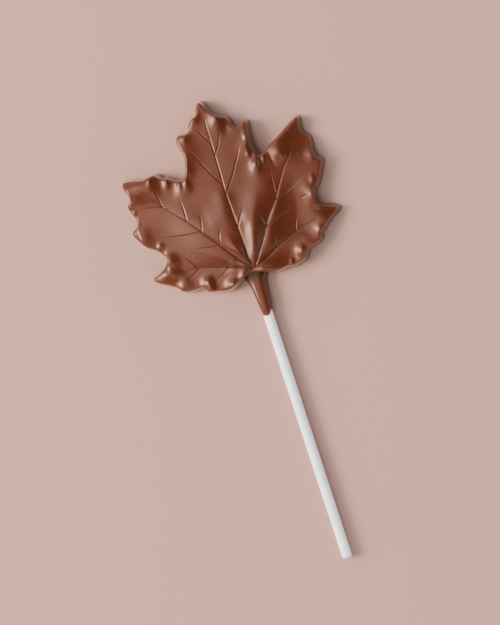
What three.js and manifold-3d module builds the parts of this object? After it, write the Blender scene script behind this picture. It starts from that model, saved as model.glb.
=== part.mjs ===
import * as THREE from 'three';
import { mergeVertices } from 'three/addons/utils/BufferGeometryUtils.js';
import Module from 'manifold-3d';

// A maple leaf moulded in milk chocolate on a white paper stick, lying on its flat back.
// Millimetres. The stick runs along Y at x = 0, the leaf's tip points to +Y and Z is up from
// the flat back. The main veins meet above the origin.

// The stick: 5/32 inch by 6 inches, with its far end 121.2 below the veins' root.
const stickDiameter = 4.0;
const stickLength = 152.4;
const stickFarEnd = -121.2;
const stickEndRound = 1.2;
const stickEndSteps = 4;
const stickHeight = 3.1;
const stickSides = 24;
const boreGap = 0.15;
const boreEndGap = 0.3;

// The leaf is drawn from the root of its veins, as it looks from a camera tilted this many
// degrees from straight above towards +X and levelled on the stick's axis.
const viewTilt = 10;
const rimHeight = 6.3;
const wallDraft = 1.05;
const edgeRound = 0.8;

// The upper face is a low dome that falls to the rim's height, longer along Y than across.
const domeRise = 1.5;
const domeReach = 40;
const domeX = -3;
const domeY = 24;
const domeLengthwise = 0.5;

// Between the main veins the face swells. Away from the root only a share of that is left.
const pillowRise = 1.3;
const pillowRun = 3.0;
const pillowReach = 26;
const pillowShareFar = 0.25;

// Veins are grooves: depth at the root, half width, and how much of the depth is gone at the tip.
const mainGroove = { depth: 0.5, half: 0.45, fade: 0.75 };
const twigGroove = { depth: 0.42, half: 0.4, fade: 1.0 };
const grooveFadePower = 1.5;

// Facets: steps along the rim and the veins, and between points of the open face. No two
// points come closer than a share of the step that they belong to.
const rimStep = 1.25;
const veinStep = 1.9;
const faceStep = 1.7;
const shoulder = 0.95;
const clearShare = { vein: 0.5, edge: 0.55, shoulder: 0.75, face: 0.72 };
const curveDivisions = 1500;
const footReach = 2;
const weldDistance = 1e-4;

// The rim of the upper face, anticlockwise from the right of the stalk, by lobes.
const rimOfRightFoot = [
  [2.4, -1.9], [6.3, -3.2], [10, -3.5], [12.9, -3.1], [15.5, -3.5], [18.2, -3.0], [20.9, -1.9],
  [21.9, -0.3], [23.2, 1.0], [25.4, 1.7], [28, 2.6], [29.2, 3.8], [29.6, 5.5], [31.2, 6.8],
  [35.1, 9.8], [38.2, 11.7], [39.4, 12.7], [37.9, 13.8], [35.6, 14.6], [32.2, 16.2],
];
const rimOfRightLobe = [
  [31.1, 18.0], [31.4, 20.4], [32.3, 22.6], [34, 24.05], [35.6, 26.5], [37.4, 29.8],
  [38.7, 33.0], [37.4, 33.8], [36.4, 35.4], [36.2, 37.5], [36.9, 40.6], [36.8, 43.3],
  [34.9, 45.4], [34.6, 48.6], [34.8, 51.8], [31.2, 50.4], [25.4, 47.0], [22.2, 45.3], [18.6, 42.9],
];
const rimOfMiddleLobe = [
  [16.6, 42.1], [15.3, 42.5], [14.4, 45.0], [13.9, 49.0], [14.3, 53.0], [14.6, 56.9],
  [11.5, 55.6], [10.0, 55.8], [8.8, 57.2], [8.0, 60.4], [4.8, 62.3], [2.05, 65.2],
  [-0.3, 69.6], [-1.9, 68.3], [-3.1, 65.2], [-5.2, 64.2], [-6.9, 62.5], [-7.8, 59.9],
  [-9.6, 59.3], [-12.4, 59.7], [-13.6, 57.6], [-13.2, 54.7], [-12.5, 51.3], [-13.3, 47.0],
  [-14.4, 44.2],
];
const rimOfLeftLobe = [
  [-15.4, 42.2], [-17.2, 42.5], [-19.4, 43.2], [-22.3, 45.1], [-24.6, 46.0], [-26.7, 47.9],
  [-31.5, 47.4], [-35.2, 48.4], [-39.4, 48.7], [-39.6, 46.1], [-38.5, 43.5], [-38.6, 41.2],
  [-40.2, 39.4], [-39.7, 36.5], [-38.5, 33.4], [-39.2, 30.3], [-41.7, 28.6], [-40.9, 26.1],
  [-38.1, 21.6], [-34.9, 19.4], [-32.6, 16.7],
];
const rimOfLeftFoot = [
  [-31.5, 14.6], [-33.2, 11.9], [-36.2, 9.8], [-39.5, 8.2], [-37.8, 6.4], [-34.1, 4.2],
  [-31.2, 2.3], [-29.2, 0], [-25.6, -0.7], [-21.8, -0.6], [-19.7, -3.1], [-15.8, -4.1],
  [-12.1, -4.9], [-9.4, -4.1], [-6.3, -2.6], [-3.2, -1.5], [0, -1.2],
];

// The five main veins, from the root outwards.
const mainVeins = [
  [[0, 0.8], [-0.5, 5], [-0.6, 15], [-0.8, 22], [-1.1, 32], [-0.7, 42], [-0.5, 52], [-0.1, 62]],
  [[-0.5, 1], [-4.3, 5.5], [-9.7, 13], [-15.1, 20.4], [-19.4, 26.2], [-26.9, 34.9], [-34.2, 43.9]],
  [[-1, 1], [-6.8, 3.1], [-12.1, 4.9], [-20.4, 7.1], [-26.5, 7.6]],
  [[1.2, 1.1], [3.7, 4.7], [7.9, 11], [12.7, 18.3], [20.05, 28.5], [25.6, 36.2], [32.4, 38.8]],
  [[0.8, 0.4], [6.3, 2.8], [11.8, 5.6], [20.6, 8.8], [29.7, 11.1]],
];

// The side veins, each from its main vein outwards.
const twigs = [
  [[-0.5, 17.8], [1.6, 21.6], [4.9, 26.8]],
  [[-0.9, 31.9], [1.5, 35], [4.8, 39.7], [8, 44.7], [10.1, 48.5]],
  [[-0.5, 47.6], [2.0, 51.2], [4.8, 57.2]],
  [[-1.1, 35.6], [-3.9, 40.1], [-7.1, 47.1], [-10.0, 53.0]],
  [[-0.5, 52.8], [-2.5, 56], [-4.5, 60.0]],
  [[-9.6, 13.0], [-9.1, 15.5], [-7.7, 19.6]],
  [[-15.3, 20.3], [-14.4, 22.1], [-13.5, 27.2]],
  [[-19.5, 26.1], [-19.1, 30.5], [-19.4, 36.5]],
  [[-26.9, 35.0], [-27.4, 38.4], [-27.9, 43.2]],
  [[-9.8, 12.9], [-13.3, 13.3], [-19.4, 14.5]],
  [[-15.2, 20.4], [-24.1, 21.6], [-33.6, 23.8]],
  [[-26.4, 34.7], [-31.5, 35.8], [-36.4, 36.5]],
  [[-12.3, 5.1], [-14.2, 7.8], [-16.6, 10.2]],
  [[-21.2, 7.4], [-22.8, 10.2], [-25.4, 14.2]],
  [[-9.0, 3.9], [-12, 1.9], [-16.6, -1.0]],
  [[-20.5, 7.0], [-22.7, 5.6], [-26.3, 3.4]],
  [[10.0, 14.3], [9.5, 17.0], [8.8, 20.2]],
  [[17.5, 24.6], [17.8, 29], [18.4, 35.2]],
  [[26.6, 37.1], [28.9, 40.4]],
  [[10.3, 14.6], [15.8, 16.3], [22.5, 18.8]],
  [[16.9, 23.5], [21.9, 24.8], [29.9, 29.0]],
  [[11.6, 5.6], [11.6, 8.1], [12.8, 10.6]],
  [[20.6, 8.9], [21.9, 12.7], [23.0, 14.9]],
  [[11.7, 5.5], [14, 3.8], [17.5, 1.2]],
  [[20.6, 8.8], [24, 7.2], [28.0, 4.9]],
];

// Swells and dimples of the face: x and y of the middle, length, width on the left and on the
// right of the length, the length's direction in degrees, height.
const rootFolds = [
  [5.3, 14.5, 11.0, 3.3, 3.2, 73, 1.6],
  [7.6, 11.2, 7.5, 1.8, 1.1, 56, -1.0],
  [9.8, 11.6, 8.0, 1.4, 2.4, 57, 0.4],
  [15.8, 21.2, 6.0, 1.2, 2.0, 56, 0.4],
  [-5.4, 21.5, 13.0, 6.5, 4.0, 98, 1.6],
  [-4.8, 10.0, 7.0, 2.0, 2.0, 112, 0.7],
  [-2.6, 31.0, 5.0, 3.4, 2.0, 98, 0.5],
  [-13.0, 18.0, 15.0, 8.5, 4.5, 124, 1.7],
  [23.0, 13.0, 13.0, 10.0, 7.0, 75, -2.2],
  [16.0, 0.0, 5.0, 7.0, 4.0, 75, -1.3],
  [-5.5, 1.8, 5.5, 1.8, 1.8, 158, 0.8],
  [-7.6, 3.0, 3.0, 3.0, 1.6, 80, 0.4],
  [-0.5, -0.8, 2.5, 1.5, 1.5, 0, -0.6],
  [2.6, 0.2, 2.2, 2.0, 2.6, 80, 0.9],
];
const middleLobeSwells = [
  [4.4, 61.8, 4.5, 2.2, 2.0, 73, 1.4],
  [-0.2, 63.4, 3.5, 2.2, 1.6, 76, -0.5],
  [7.6, 58.0, 3.5, 2.0, 2.0, 65, -0.5],
  [-10.2, 57.5, 2.4, 1.4, 1.2, 84, 0.6],
  [-13.8, 49.5, 6.0, 2.4, 2.4, 82, 1.0],
  [-8.2, 52.5, 4.0, 2.0, 4.0, 82, 0.5],
  [13.4, 50.5, 6.0, 2.0, 2.0, 80, 0.8],
  [11.0, 46.0, 4.0, 2.2, 2.0, 75, 0.5],
];
const rightLobeSwells = [
  [14.2, 39.8, 4.4, 2.6, 3.6, 70, 1.7],
  [16.4, 36.4, 3.0, 2.4, 2.0, 70, -0.6],
  [17.7, 41.4, 1.6, 0.9, 0.8, 75, 0.8],
  [20.2, 41.4, 3.0, 2.4, 1.4, 72, -0.6],
  [23.7, 41.4, 3.4, 1.9, 4.0, 70, 1.5],
  [33.5, 44.0, 6.0, 7.0, 4.0, 66, -1.2],
  [37.0, 41.0, 5.0, 3.4, 2.0, 80, -0.7],
  [35.4, 36.6, 2.6, 1.6, 1.4, 80, 0.4],
  [33.8, 26.6, 2.0, 1.3, 1.0, 70, 0.6],
  [30.8, 21.8, 4.6, 3.0, 1.6, 76, 1.6],
  [29.5, 15.0, 5.0, 3.0, 5.0, 84, 0.4],
];
const rightFootSwells = [
  [38.0, 12.5, 3.0, 5.0, 2.0, 75, -0.9],
  [29.4, 6.6, 2.4, 1.6, 1.4, 72, 0.9],
  [27.0, 3.6, 2.6, 1.8, 1.8, 60, -0.6],
  [20.8, 2.4, 2.8, 2.4, 2.4, 70, 2.1],
  [5.0, -1.9, 6.5, 1.2, 1.2, -14, 0.6],
];
const leftFootSwells = [
  [-5.0, -0.9, 2.4, 1.8, 1.3, 40, 1.0],
  [-9.2, -2.4, 3.2, 2.8, 1.3, 60, 1.4],
  [-18.4, -0.2, 3.2, 2.2, 2.0, 62, 1.5],
  [-26.8, 1.2, 3.2, 2.0, 2.0, 50, 1.1],
  [-31.0, 12.8, 4.6, 3.4, 3.4, 75, 2.0],
  [-30.0, 17.0, 2.0, 1.2, 1.2, 60, 0.5],
];
const leftLobeSwells = [
  [-33.4, 19.0, 2.4, 1.6, 2.0, 50, 0.9],
  [-38.2, 24.0, 3.6, 2.4, 2.0, 70, 1.1],
  [-39.2, 31.2, 1.8, 1.4, 1.0, 60, 0.6],
  [-38.8, 35.6, 1.4, 1.2, 1.0, 60, 0.5],
  [-39.4, 39.4, 1.4, 1.2, 1.0, 60, 0.5],
  [-35.0, 47.6, 2.4, 3.4, 3.0, 60, 0.9],
  [-32.6, 45.2, 3.6, 2.4, 2.0, 66, 0.5],
  [-28.8, 45.0, 4.6, 3.0, 2.9, 72, 1.9],
  [-22.6, 43.5, 3.2, 1.6, 2.2, 73, 1.0],
  [-18.8, 40.2, 4.2, 2.2, 1.4, 73, 1.1],
  [-15.2, 42.0, 3.2, 1.4, 1.3, 80, 1.0],
];
const swells = [
  ...rootFolds, ...middleLobeSwells, ...rightLobeSwells, ...rightFootSwells, ...leftFootSwells,
  ...leftLobeSwells,
];

// The stalk that grips the stick: places along Y and half widths at its foot, from the mouth up.
const stalkWidths = [
  [-19.2, 2.75], [-18.6, 2.9], [-17.2, 3.05], [-14.5, 3.15], [-10.3, 3.3], [-6.6, 3.5],
  [-5.2, 3.9], [-4.3, 4.7], [-3.4, 5.6], [-1.5, 5.2], [0.5, 4.0],
];
const stalkX = -0.15;
const stalkHeight = 5.85;
const stalkShoulder = 3.3;
const stalkDraft = 0.35;
const stalkRoundness = 0.85;
const stalkMouthSlant = 0.3;
const stalkSlantFrom = -12;
const stalkArcSteps = 12;

const toPoints = (pairs) => pairs.map(([x, y]) => new THREE.Vector3(x, y, 0));

function curvePoints(pairs, step, closed = false) {
  const curve = new THREE.CatmullRomCurve3(toPoints(pairs), closed, 'centripetal');
  curve.arcLengthDivisions = curveDivisions;
  const points = curve.getSpacedPoints(Math.round(curve.getLength() / step));
  return closed ? points.slice(0, -1) : points;
}

const rim = curvePoints(
  [...rimOfRightFoot, ...rimOfRightLobe, ...rimOfMiddleLobe, ...rimOfLeftLobe, ...rimOfLeftFoot],
  rimStep, true,
);
const closedRim = [...rim, rim[0]];
const mainPaths = mainVeins.map((vein) => curvePoints(vein, veinStep));
const twigPaths = twigs.map((twig) => curvePoints(twig, veinStep));

// Distance from a place to a path, and how far along the path that is, from 0 to 1.
function nearest(path, x, y) {
  let best = { distance: Infinity, along: 0 };
  for (let i = 0; i + 1 < path.length; i++) {
    const a = path[i];
    const dx = path[i + 1].x - a.x;
    const dy = path[i + 1].y - a.y;
    const u = THREE.MathUtils.clamp(((x - a.x) * dx + (y - a.y) * dy) / (dx * dx + dy * dy), 0, 1);
    const distance = Math.hypot(x - a.x - u * dx, y - a.y - u * dy);
    if (distance < best.distance) best = { distance, along: (i + u) / (path.length - 1) };
  }
  return best;
}

const bell = (distance, run) => Math.exp(-((distance / run) ** 2));

function grooveDepth({ distance, along }, groove) {
  return groove.depth * (1 - groove.fade * along ** grooveFadePower) * bell(distance, groove.half);
}

function swellHeight(x, y, [cx, cy, length, left, right, degrees, height]) {
  const turn = THREE.MathUtils.degToRad(degrees);
  const u = (x - cx) * Math.cos(turn) + (y - cy) * Math.sin(turn);
  const v = (y - cy) * Math.cos(turn) - (x - cx) * Math.sin(turn);
  return height * bell(u, length) * bell(v, v > 0 ? left : right);
}

// How far the rounded edge has dropped at a distance from the rim.
function edgeDrop(distance) {
  const inward = Math.max(0, edgeRound - distance);
  return edgeRound - Math.sqrt(edgeRound ** 2 - inward ** 2);
}

function domeHeight(x, y) {
  return domeRise * (1 - ((x - domeX) ** 2 + domeLengthwise * (y - domeY) ** 2) / domeReach ** 2);
}

function pillowHeight(x, y, toVein) {
  const share = pillowShareFar + (1 - pillowShareFar) * bell(Math.hypot(x, y), pillowReach);
  return pillowRise * share * (1 - Math.exp(-toVein / pillowRun));
}

function faceHeight(x, y) {
  const mains = mainPaths.map((path) => nearest(path, x, y));
  const toVein = Math.min(...mains.map(({ distance }) => distance));
  const toRim = nearest(closedRim, x, y).distance;
  let z = rimHeight + domeHeight(x, y) + pillowHeight(x, y, toVein);
  for (const swell of swells) z += swellHeight(x, y, swell);
  for (const main of mains) z -= grooveDepth(main, mainGroove);
  for (const path of twigPaths) z -= grooveDepth(nearest(path, x, y), twigGroove);
  return z - edgeDrop(toRim);
}

function insideRim(x, y) {
  let inside = false;
  for (let i = 0, j = rim.length - 1; i < rim.length; j = i++) {
    const a = rim[i];
    const b = rim[j];
    if (a.y > y !== b.y > y && x < ((b.x - a.x) * (y - a.y)) / (b.y - a.y) + a.x) inside = !inside;
  }
  return inside;
}

// Unit normals in the plane, pointing right of the way of travel.
function sideNormals(path, closed, reach) {
  const last = path.length - 1;
  const wrap = (i) => (closed ? (i + path.length) % path.length : THREE.MathUtils.clamp(i, 0, last));
  return path.map((_, i) => {
    const a = path[wrap(i - reach)];
    const b = path[wrap(i + reach)];
    return new THREE.Vector2(b.y - a.y, a.x - b.x).normalize();
  });
}

// The places where the upper face has a vertex: rim, veins with a shoulder on each side, a row
// where the rounded edge begins, and an even triangular grid over the rest.
function facePlaces() {
  const places = rim.map(({ x, y }) => [x, y]);
  const add = (x, y, clear) => {
    if (!insideRim(x, y)) return;
    if (places.every(([px, py]) => Math.hypot(px - x, py - y) > clear)) places.push([x, y]);
  };
  const paths = [...mainPaths, ...twigPaths];
  for (const path of paths) for (const { x, y } of path) add(x, y, clearShare.vein * veinStep);
  const rimNormals = sideNormals(rim, true, 1);
  rim.forEach(({ x, y }, i) => {
    const normal = rimNormals[i];
    add(x - edgeRound * normal.x, y - edgeRound * normal.y, clearShare.edge * rimStep);
  });
  for (const path of paths) {
    sideNormals(path, false, 1).forEach((normal, i) => {
      for (const side of [-shoulder, shoulder]) {
        const { x, y } = path[i];
        add(x + side * normal.x, y + side * normal.y, clearShare.shoulder * shoulder);
      }
    });
  }
  const box = new THREE.Box3().setFromPoints(rim);
  const rowStep = faceStep * Math.sqrt(0.75);
  const rows = Math.ceil((box.max.y - box.min.y) / rowStep);
  const columns = Math.ceil((box.max.x - box.min.x) / faceStep) + 1;
  for (let row = 0; row < rows; row++) {
    for (let column = 0; column < columns; column++) {
      const x = box.min.x + (column - 0.5 * (row % 2)) * faceStep;
      add(x, box.min.y + row * rowStep, clearShare.face * faceStep);
    }
  }
  return places;
}

// Triangles over scattered places, no place inside the circle of any of them.
function triangulate(places) {
  const count = places.length;
  const far = 1000; // the corners of a first triangle that holds every place
  const all = [...places, [-far, -far], [far, -far], [0, far]];
  const circle = (a, b, c) => {
    const [ax, ay] = all[a];
    const bx = all[b][0] - ax;
    const by = all[b][1] - ay;
    const cx = all[c][0] - ax;
    const cy = all[c][1] - ay;
    const twice = 2 * (bx * cy - by * cx);
    const ux = (cy * (bx * bx + by * by) - by * (cx * cx + cy * cy)) / twice;
    const uy = (bx * (cx * cx + cy * cy) - cx * (bx * bx + by * by)) / twice;
    return { corners: [a, b, c], x: ax + ux, y: ay + uy, square: ux * ux + uy * uy };
  };
  let triangles = [circle(count, count + 1, count + 2)];
  for (let i = 0; i < count; i++) {
    const [x, y] = all[i];
    const edges = new Map();
    const kept = [];
    for (const triangle of triangles) {
      if ((x - triangle.x) ** 2 + (y - triangle.y) ** 2 >= triangle.square) {
        kept.push(triangle);
        continue;
      }
      triangle.corners.forEach((a, k) => {
        const b = triangle.corners[(k + 1) % 3];
        if (!edges.delete(`${b},${a}`)) edges.set(`${a},${b}`, [a, b]);
      });
    }
    for (const [a, b] of edges.values()) kept.push(circle(a, b, i));
    triangles = kept;
  }
  return triangles.map(({ corners }) => corners).filter((corners) => {
    const [x, y] = [0, 1].map((axis) => corners.reduce((sum, i) => sum + all[i][axis], 0) / 3);
    return corners.every((i) => i < count) && insideRim(x, y);
  });
}

// A drawn place at its height, moved to where it truly lies.
function placed(x, y, z) {
  const tilt = THREE.MathUtils.degToRad(viewTilt);
  return [x / Math.cos(tilt) + Math.tan(tilt) * (z - stickHeight), y, z];
}

// The leaf's foot lies outside its rim by the wall's draft. Its normals are taken over a long
// reach, so that it doesn't cross itself in the narrow notches.
function footOutline(edge) {
  const path = edge.map(([x, y]) => new THREE.Vector2(x, y));
  const normals = sideNormals(path, true, footReach);
  return path.map((point, i) => point.addScaledVector(normals[i], wallDraft));
}

function geometryOf(vertices, triangles) {
  const geometry = new THREE.BufferGeometry();
  geometry.setAttribute('position', new THREE.Float32BufferAttribute(vertices.flat(), 3));
  geometry.setIndex(triangles.flat());
  return geometry;
}

function leafBlade() {
  const places = facePlaces();
  const face = places.map(([x, y]) => placed(x, y, faceHeight(x, y)));
  const foot = footOutline(face.slice(0, rim.length));
  const top = places.length;
  const round = rim.length;
  const vertices = [...face, ...foot.map(({ x, y }) => [x, y, 0])];
  const triangles = triangulate(places);
  for (let i = 0; i < round; i++) {
    const j = (i + 1) % round;
    triangles.push([top + i, top + j, j], [top + i, j, i]);
  }
  const flat = THREE.ShapeUtils.triangulateShape(foot, []);
  for (const [a, b, c] of flat) triangles.push([top + c, top + b, top + a]);
  return geometryOf(vertices, triangles);
}

// One section of the stalk: a flat foot, drafted sides and a round top. Towards the mouth the
// section leans back from top to foot.
function stalkSection(y, half) {
  const slant = stalkMouthSlant * THREE.MathUtils.smoothstep(-y, -stalkSlantFrom, -stalkWidths[0][0]);
  const side = half - stalkDraft;
  const section = [[half, 0]];
  for (let i = 0; i <= stalkArcSteps; i++) {
    const turn = (Math.PI * i) / stalkArcSteps;
    const across = side * Math.sign(Math.cos(turn)) * Math.abs(Math.cos(turn)) ** stalkRoundness;
    const rise = (stalkHeight - stalkShoulder) * Math.sin(turn) ** stalkRoundness;
    section.push([across, stalkShoulder + rise]);
  }
  section.push([-half, 0]);
  return section.map(([x, z]) => [stalkX + x, y + slant * (stalkHeight - z), z]);
}

function stalkTube() {
  const sections = stalkWidths.map(([y, half]) => stalkSection(y, half));
  const around = sections[0].length;
  const triangles = [];
  for (let s = 0; s + 1 < sections.length; s++) {
    for (let i = 0; i < around; i++) {
      const a = s * around + i;
      const b = s * around + ((i + 1) % around);
      triangles.push([a, b + around, b], [a, a + around, b + around]);
    }
  }
  const last = (sections.length - 1) * around;
  for (let i = 1; i + 1 < around; i++) {
    triangles.push([0, i, i + 1], [last, last + i + 1, last + i]);
  }
  return geometryOf(sections.flat(), triangles);
}

// A round bar along Y with a rounded lower end, which may have no rounding at all.
function roundBar(radius, from, to, round) {
  const corner = [];
  for (let i = 0; i <= stickEndSteps; i++) {
    const turn = (Math.PI / 2) * (i / stickEndSteps);
    const inset = round * (1 - Math.sin(turn));
    corner.push(new THREE.Vector2(radius - inset, from + round * (1 - Math.cos(turn))));
  }
  const start = round > 0 ? corner : [new THREE.Vector2(radius, from)];
  const profile = [
    new THREE.Vector2(0, from), ...start, new THREE.Vector2(radius, to), new THREE.Vector2(0, to),
  ];
  return new THREE.LatheGeometry(profile, stickSides);
}

const wasm = await Module();
wasm.setup();

function toSolid(geometry) {
  const bare = geometry.clone();
  bare.deleteAttribute('normal');
  bare.deleteAttribute('uv');
  const merged = mergeVertices(bare, weldDistance);
  const mesh = new wasm.Mesh({
    numProp: 3,
    vertProperties: merged.attributes.position.array,
    triVerts: Uint32Array.from(merged.index.array),
  });
  return new wasm.Manifold(mesh);
}

function toGeometry(solid) {
  const { vertProperties, triVerts } = solid.getMesh();
  const geometry = new THREE.BufferGeometry();
  geometry.setAttribute('position', new THREE.BufferAttribute(vertProperties, 3));
  geometry.setIndex(new THREE.BufferAttribute(triVerts, 1));
  geometry.computeVertexNormals();
  return geometry;
}

const stickRadius = stickDiameter / 2;
const stickTop = stickFarEnd + stickLength;

function leaf() {
  const mouth = stalkWidths[0][0] - stickDiameter;
  const bore = roundBar(stickRadius + boreGap, mouth, stickTop + boreEndGap, 0);
  bore.translate(0, 0, stickHeight);
  const solid = toSolid(leafBlade()).add(toSolid(stalkTube())).subtract(toSolid(bore));
  const chocolate = new THREE.MeshStandardMaterial({ color: 0x7a4832, roughness: 0.42, metalness: 0 });
  const mesh = new THREE.Mesh(toGeometry(solid), chocolate);
  mesh.name = 'leaf';
  return mesh;
}

function stick() {
  const paper = new THREE.MeshStandardMaterial({ color: 0xeff0ea, roughness: 0.75, metalness: 0 });
  const mesh = new THREE.Mesh(roundBar(stickRadius, stickFarEnd, stickTop, stickEndRound), paper);
  mesh.name = 'stick';
  mesh.position.z = stickHeight;
  return mesh;
}

const lollipop = new THREE.Group();
lollipop.add(leaf(), stick());

export default lollipop;
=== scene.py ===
"""A milk chocolate maple leaf on a white paper stick, lying on a plain pale surface."""
import math

import bmesh
import bpy
import numpy as np
from bpy.props import FloatProperty, FloatVectorProperty, PointerProperty
from mathutils import Matrix, Vector, geometry


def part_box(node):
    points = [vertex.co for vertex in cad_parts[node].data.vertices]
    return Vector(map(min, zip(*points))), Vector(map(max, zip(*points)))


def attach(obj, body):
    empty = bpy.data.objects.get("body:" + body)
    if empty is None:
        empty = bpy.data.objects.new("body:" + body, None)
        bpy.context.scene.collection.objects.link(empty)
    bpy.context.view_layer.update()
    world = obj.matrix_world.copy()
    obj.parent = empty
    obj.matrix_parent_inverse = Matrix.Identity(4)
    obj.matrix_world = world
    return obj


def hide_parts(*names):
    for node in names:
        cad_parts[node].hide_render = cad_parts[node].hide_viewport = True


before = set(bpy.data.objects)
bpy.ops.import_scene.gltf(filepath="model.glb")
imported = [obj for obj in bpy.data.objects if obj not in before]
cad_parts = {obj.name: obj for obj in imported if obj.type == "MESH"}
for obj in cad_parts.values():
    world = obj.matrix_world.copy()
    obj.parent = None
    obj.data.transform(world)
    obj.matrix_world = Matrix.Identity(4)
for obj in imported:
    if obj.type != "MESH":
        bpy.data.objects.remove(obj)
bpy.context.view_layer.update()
stick_low, stick_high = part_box("stick")

bl_info = {
    "name": "Chocolate Leaf Lollipop",
    "version": (1, 0, 0),
    "blender": (4, 5, 0),
    "location": "View3D > Sidebar > Lollipop",
    "description": "Makes a moulded chocolate leaf on a paper stick, and a small stage for it",
    "category": "Add Mesh",
}

MM = 0.001

# The outlines are drawn in millimetres as they look from a camera that is tilted from straight
# above towards +X and levelled on the height of the stick's axis. The stage's camera is turned
# as well, so that the stick leans in its image.
VIEW_TILT = math.radians(10)
VIEW_TURN = math.radians(18.08)
AXIS_HEIGHT = 3.1

# The rim of the leaf's face, anticlockwise from the right of the stalk, by lobes.
RIM_RIGHT_FOOT = [
    (2.4, -1.9), (6.3, -3.2), (10, -3.5), (12.9, -3.1), (15.5, -3.5), (18.2, -3.0), (20.9, -1.9),
    (21.9, -0.3), (23.2, 1.0), (25.4, 1.7), (28, 2.6), (29.2, 3.8), (29.6, 5.5), (31.2, 6.8),
    (35.1, 9.8), (38.2, 11.7), (39.4, 12.7), (37.9, 13.8), (35.6, 14.6), (32.2, 16.2),
]
RIM_RIGHT_LOBE = [
    (31.1, 18.0), (31.4, 20.4), (32.3, 22.6), (34, 24.05), (35.6, 26.5), (37.4, 29.8),
    (38.7, 33.0), (37.4, 33.8), (36.4, 35.4), (36.2, 37.5), (36.9, 40.6), (36.8, 43.3),
    (34.9, 45.4), (34.6, 48.6), (34.8, 51.8), (31.2, 50.4), (25.4, 47.0), (22.2, 45.3),
    (18.6, 42.9),
]
RIM_MIDDLE_LOBE = [
    (16.6, 42.1), (15.3, 42.5), (14.4, 45.0), (13.9, 49.0), (14.3, 53.0), (14.6, 56.9),
    (11.5, 55.6), (10.0, 55.8), (8.8, 57.2), (8.0, 60.4), (4.8, 62.3), (2.05, 65.2),
    (-0.3, 69.6), (-1.9, 68.3), (-3.1, 65.2), (-5.2, 64.2), (-6.9, 62.5), (-7.8, 59.9),
    (-9.6, 59.3), (-12.4, 59.7), (-13.6, 57.6), (-13.2, 54.7), (-12.5, 51.3), (-13.3, 47.0),
    (-14.4, 44.2),
]
RIM_LEFT_LOBE = [
    (-15.4, 42.2), (-17.2, 42.5), (-19.4, 43.2), (-22.3, 45.1), (-24.6, 46.0), (-26.7, 47.9),
    (-31.5, 47.4), (-35.2, 48.4), (-39.4, 48.7), (-39.6, 46.1), (-38.5, 43.5), (-38.6, 41.2),
    (-40.2, 39.4), (-39.7, 36.5), (-38.5, 33.4), (-39.2, 30.3), (-41.7, 28.6), (-40.9, 26.1),
    (-38.1, 21.6), (-34.9, 19.4), (-32.6, 16.7),
]
RIM_LEFT_FOOT = [
    (-31.5, 14.6), (-33.2, 11.9), (-36.2, 9.8), (-39.5, 8.2), (-37.8, 6.4), (-34.1, 4.2),
    (-31.2, 2.3), (-29.2, 0), (-25.6, -0.7), (-21.8, -0.6), (-19.7, -3.1), (-15.8, -4.1),
    (-12.1, -4.9), (-9.4, -4.1), (-6.3, -2.6), (-3.2, -1.5), (0, -1.2),
]
RIM = RIM_RIGHT_FOOT + RIM_RIGHT_LOBE + RIM_MIDDLE_LOBE + RIM_LEFT_LOBE + RIM_LEFT_FOOT

# The five main veins, from the root outwards, and how deep each is cut, as a share of the depth
# that the settings give.
MAIN_VEINS = [
    [(0, 0.8), (-0.5, 5), (-0.6, 15), (-0.8, 22), (-1.1, 32), (-0.7, 42), (-0.5, 52), (-0.1, 62)],
    [(-0.5, 1), (-4.3, 5.5), (-9.7, 13), (-15.1, 20.4), (-19.4, 26.2), (-26.9, 34.9),
     (-34.2, 43.9)],
    [(-1, 1), (-6.8, 3.1), (-12.1, 4.9), (-20.4, 7.1), (-26.5, 7.6)],
    [(1.2, 1.1), (3.7, 4.7), (7.9, 11), (12.7, 18.3), (16.9, 23.5), (20.05, 28.5), (25.6, 36.2),
     (28.0, 37.5), (32.4, 38.8)],
    [(0.8, 0.4), (6.3, 2.8), (11.8, 5.6), (20.6, 8.8), (29.7, 11.1)],
]
MAIN_SHARES = (0.9, 0.8, 1.4, 1.0, 1.6)
# From root to tip a main vein loses the first share of its depth, at first slowly where the power
# is above 1, and the last share of its width.
MAIN_FADE, FADE_POWER, NARROWING = 0.55, 1.5, 0.4

# The side veins, each from its main vein outwards: plain ones, deep ones and faint ones.
TWIGS = [
    [(-0.5, 17.8), (1.6, 21.6), (4.9, 26.8)],
    [(-0.5, 47.6), (2.0, 51.2), (3.5, 54.2), (4.8, 57.2)],
    [(-1.1, 35.6), (-3.9, 40.1), (-7.1, 47.1), (-10.0, 53.0)],
    [(-0.5, 52.8), (-2.5, 56), (-4.5, 60.0)],
    [(-9.6, 13.0), (-9.1, 15.5), (-7.7, 19.6)],
    [(-15.3, 20.3), (-14.4, 22.1), (-13.5, 27.2)],
    [(-19.5, 26.1), (-19.1, 30.5), (-19.4, 36.5)],
    [(-26.9, 35.0), (-27.4, 38.4), (-27.9, 43.2)],
    [(-9.8, 12.9), (-13.3, 13.3), (-19.4, 14.5)],
    [(-15.2, 20.4), (-24.1, 21.6), (-33.6, 23.8)],
    [(-26.4, 34.7), (-31.5, 35.8), (-36.4, 36.5)],
    [(-12.3, 5.1), (-14.2, 7.8), (-16.6, 10.2)],
    [(-21.2, 7.4), (-22.8, 10.2), (-25.4, 14.2)],
    [(10.0, 14.3), (9.5, 17.0), (8.8, 20.2)],
    [(17.5, 24.6), (17.8, 29), (18.4, 35.2)],
    [(25.6, 36.3), (25.4, 39.9)],
    [(26.6, 37.1), (28.9, 40.4)],
    [(11.6, 5.6), (11.6, 8.1), (12.8, 10.6)],
    [(20.6, 8.9), (21.9, 12.7), (23.0, 14.9)],
]
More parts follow.
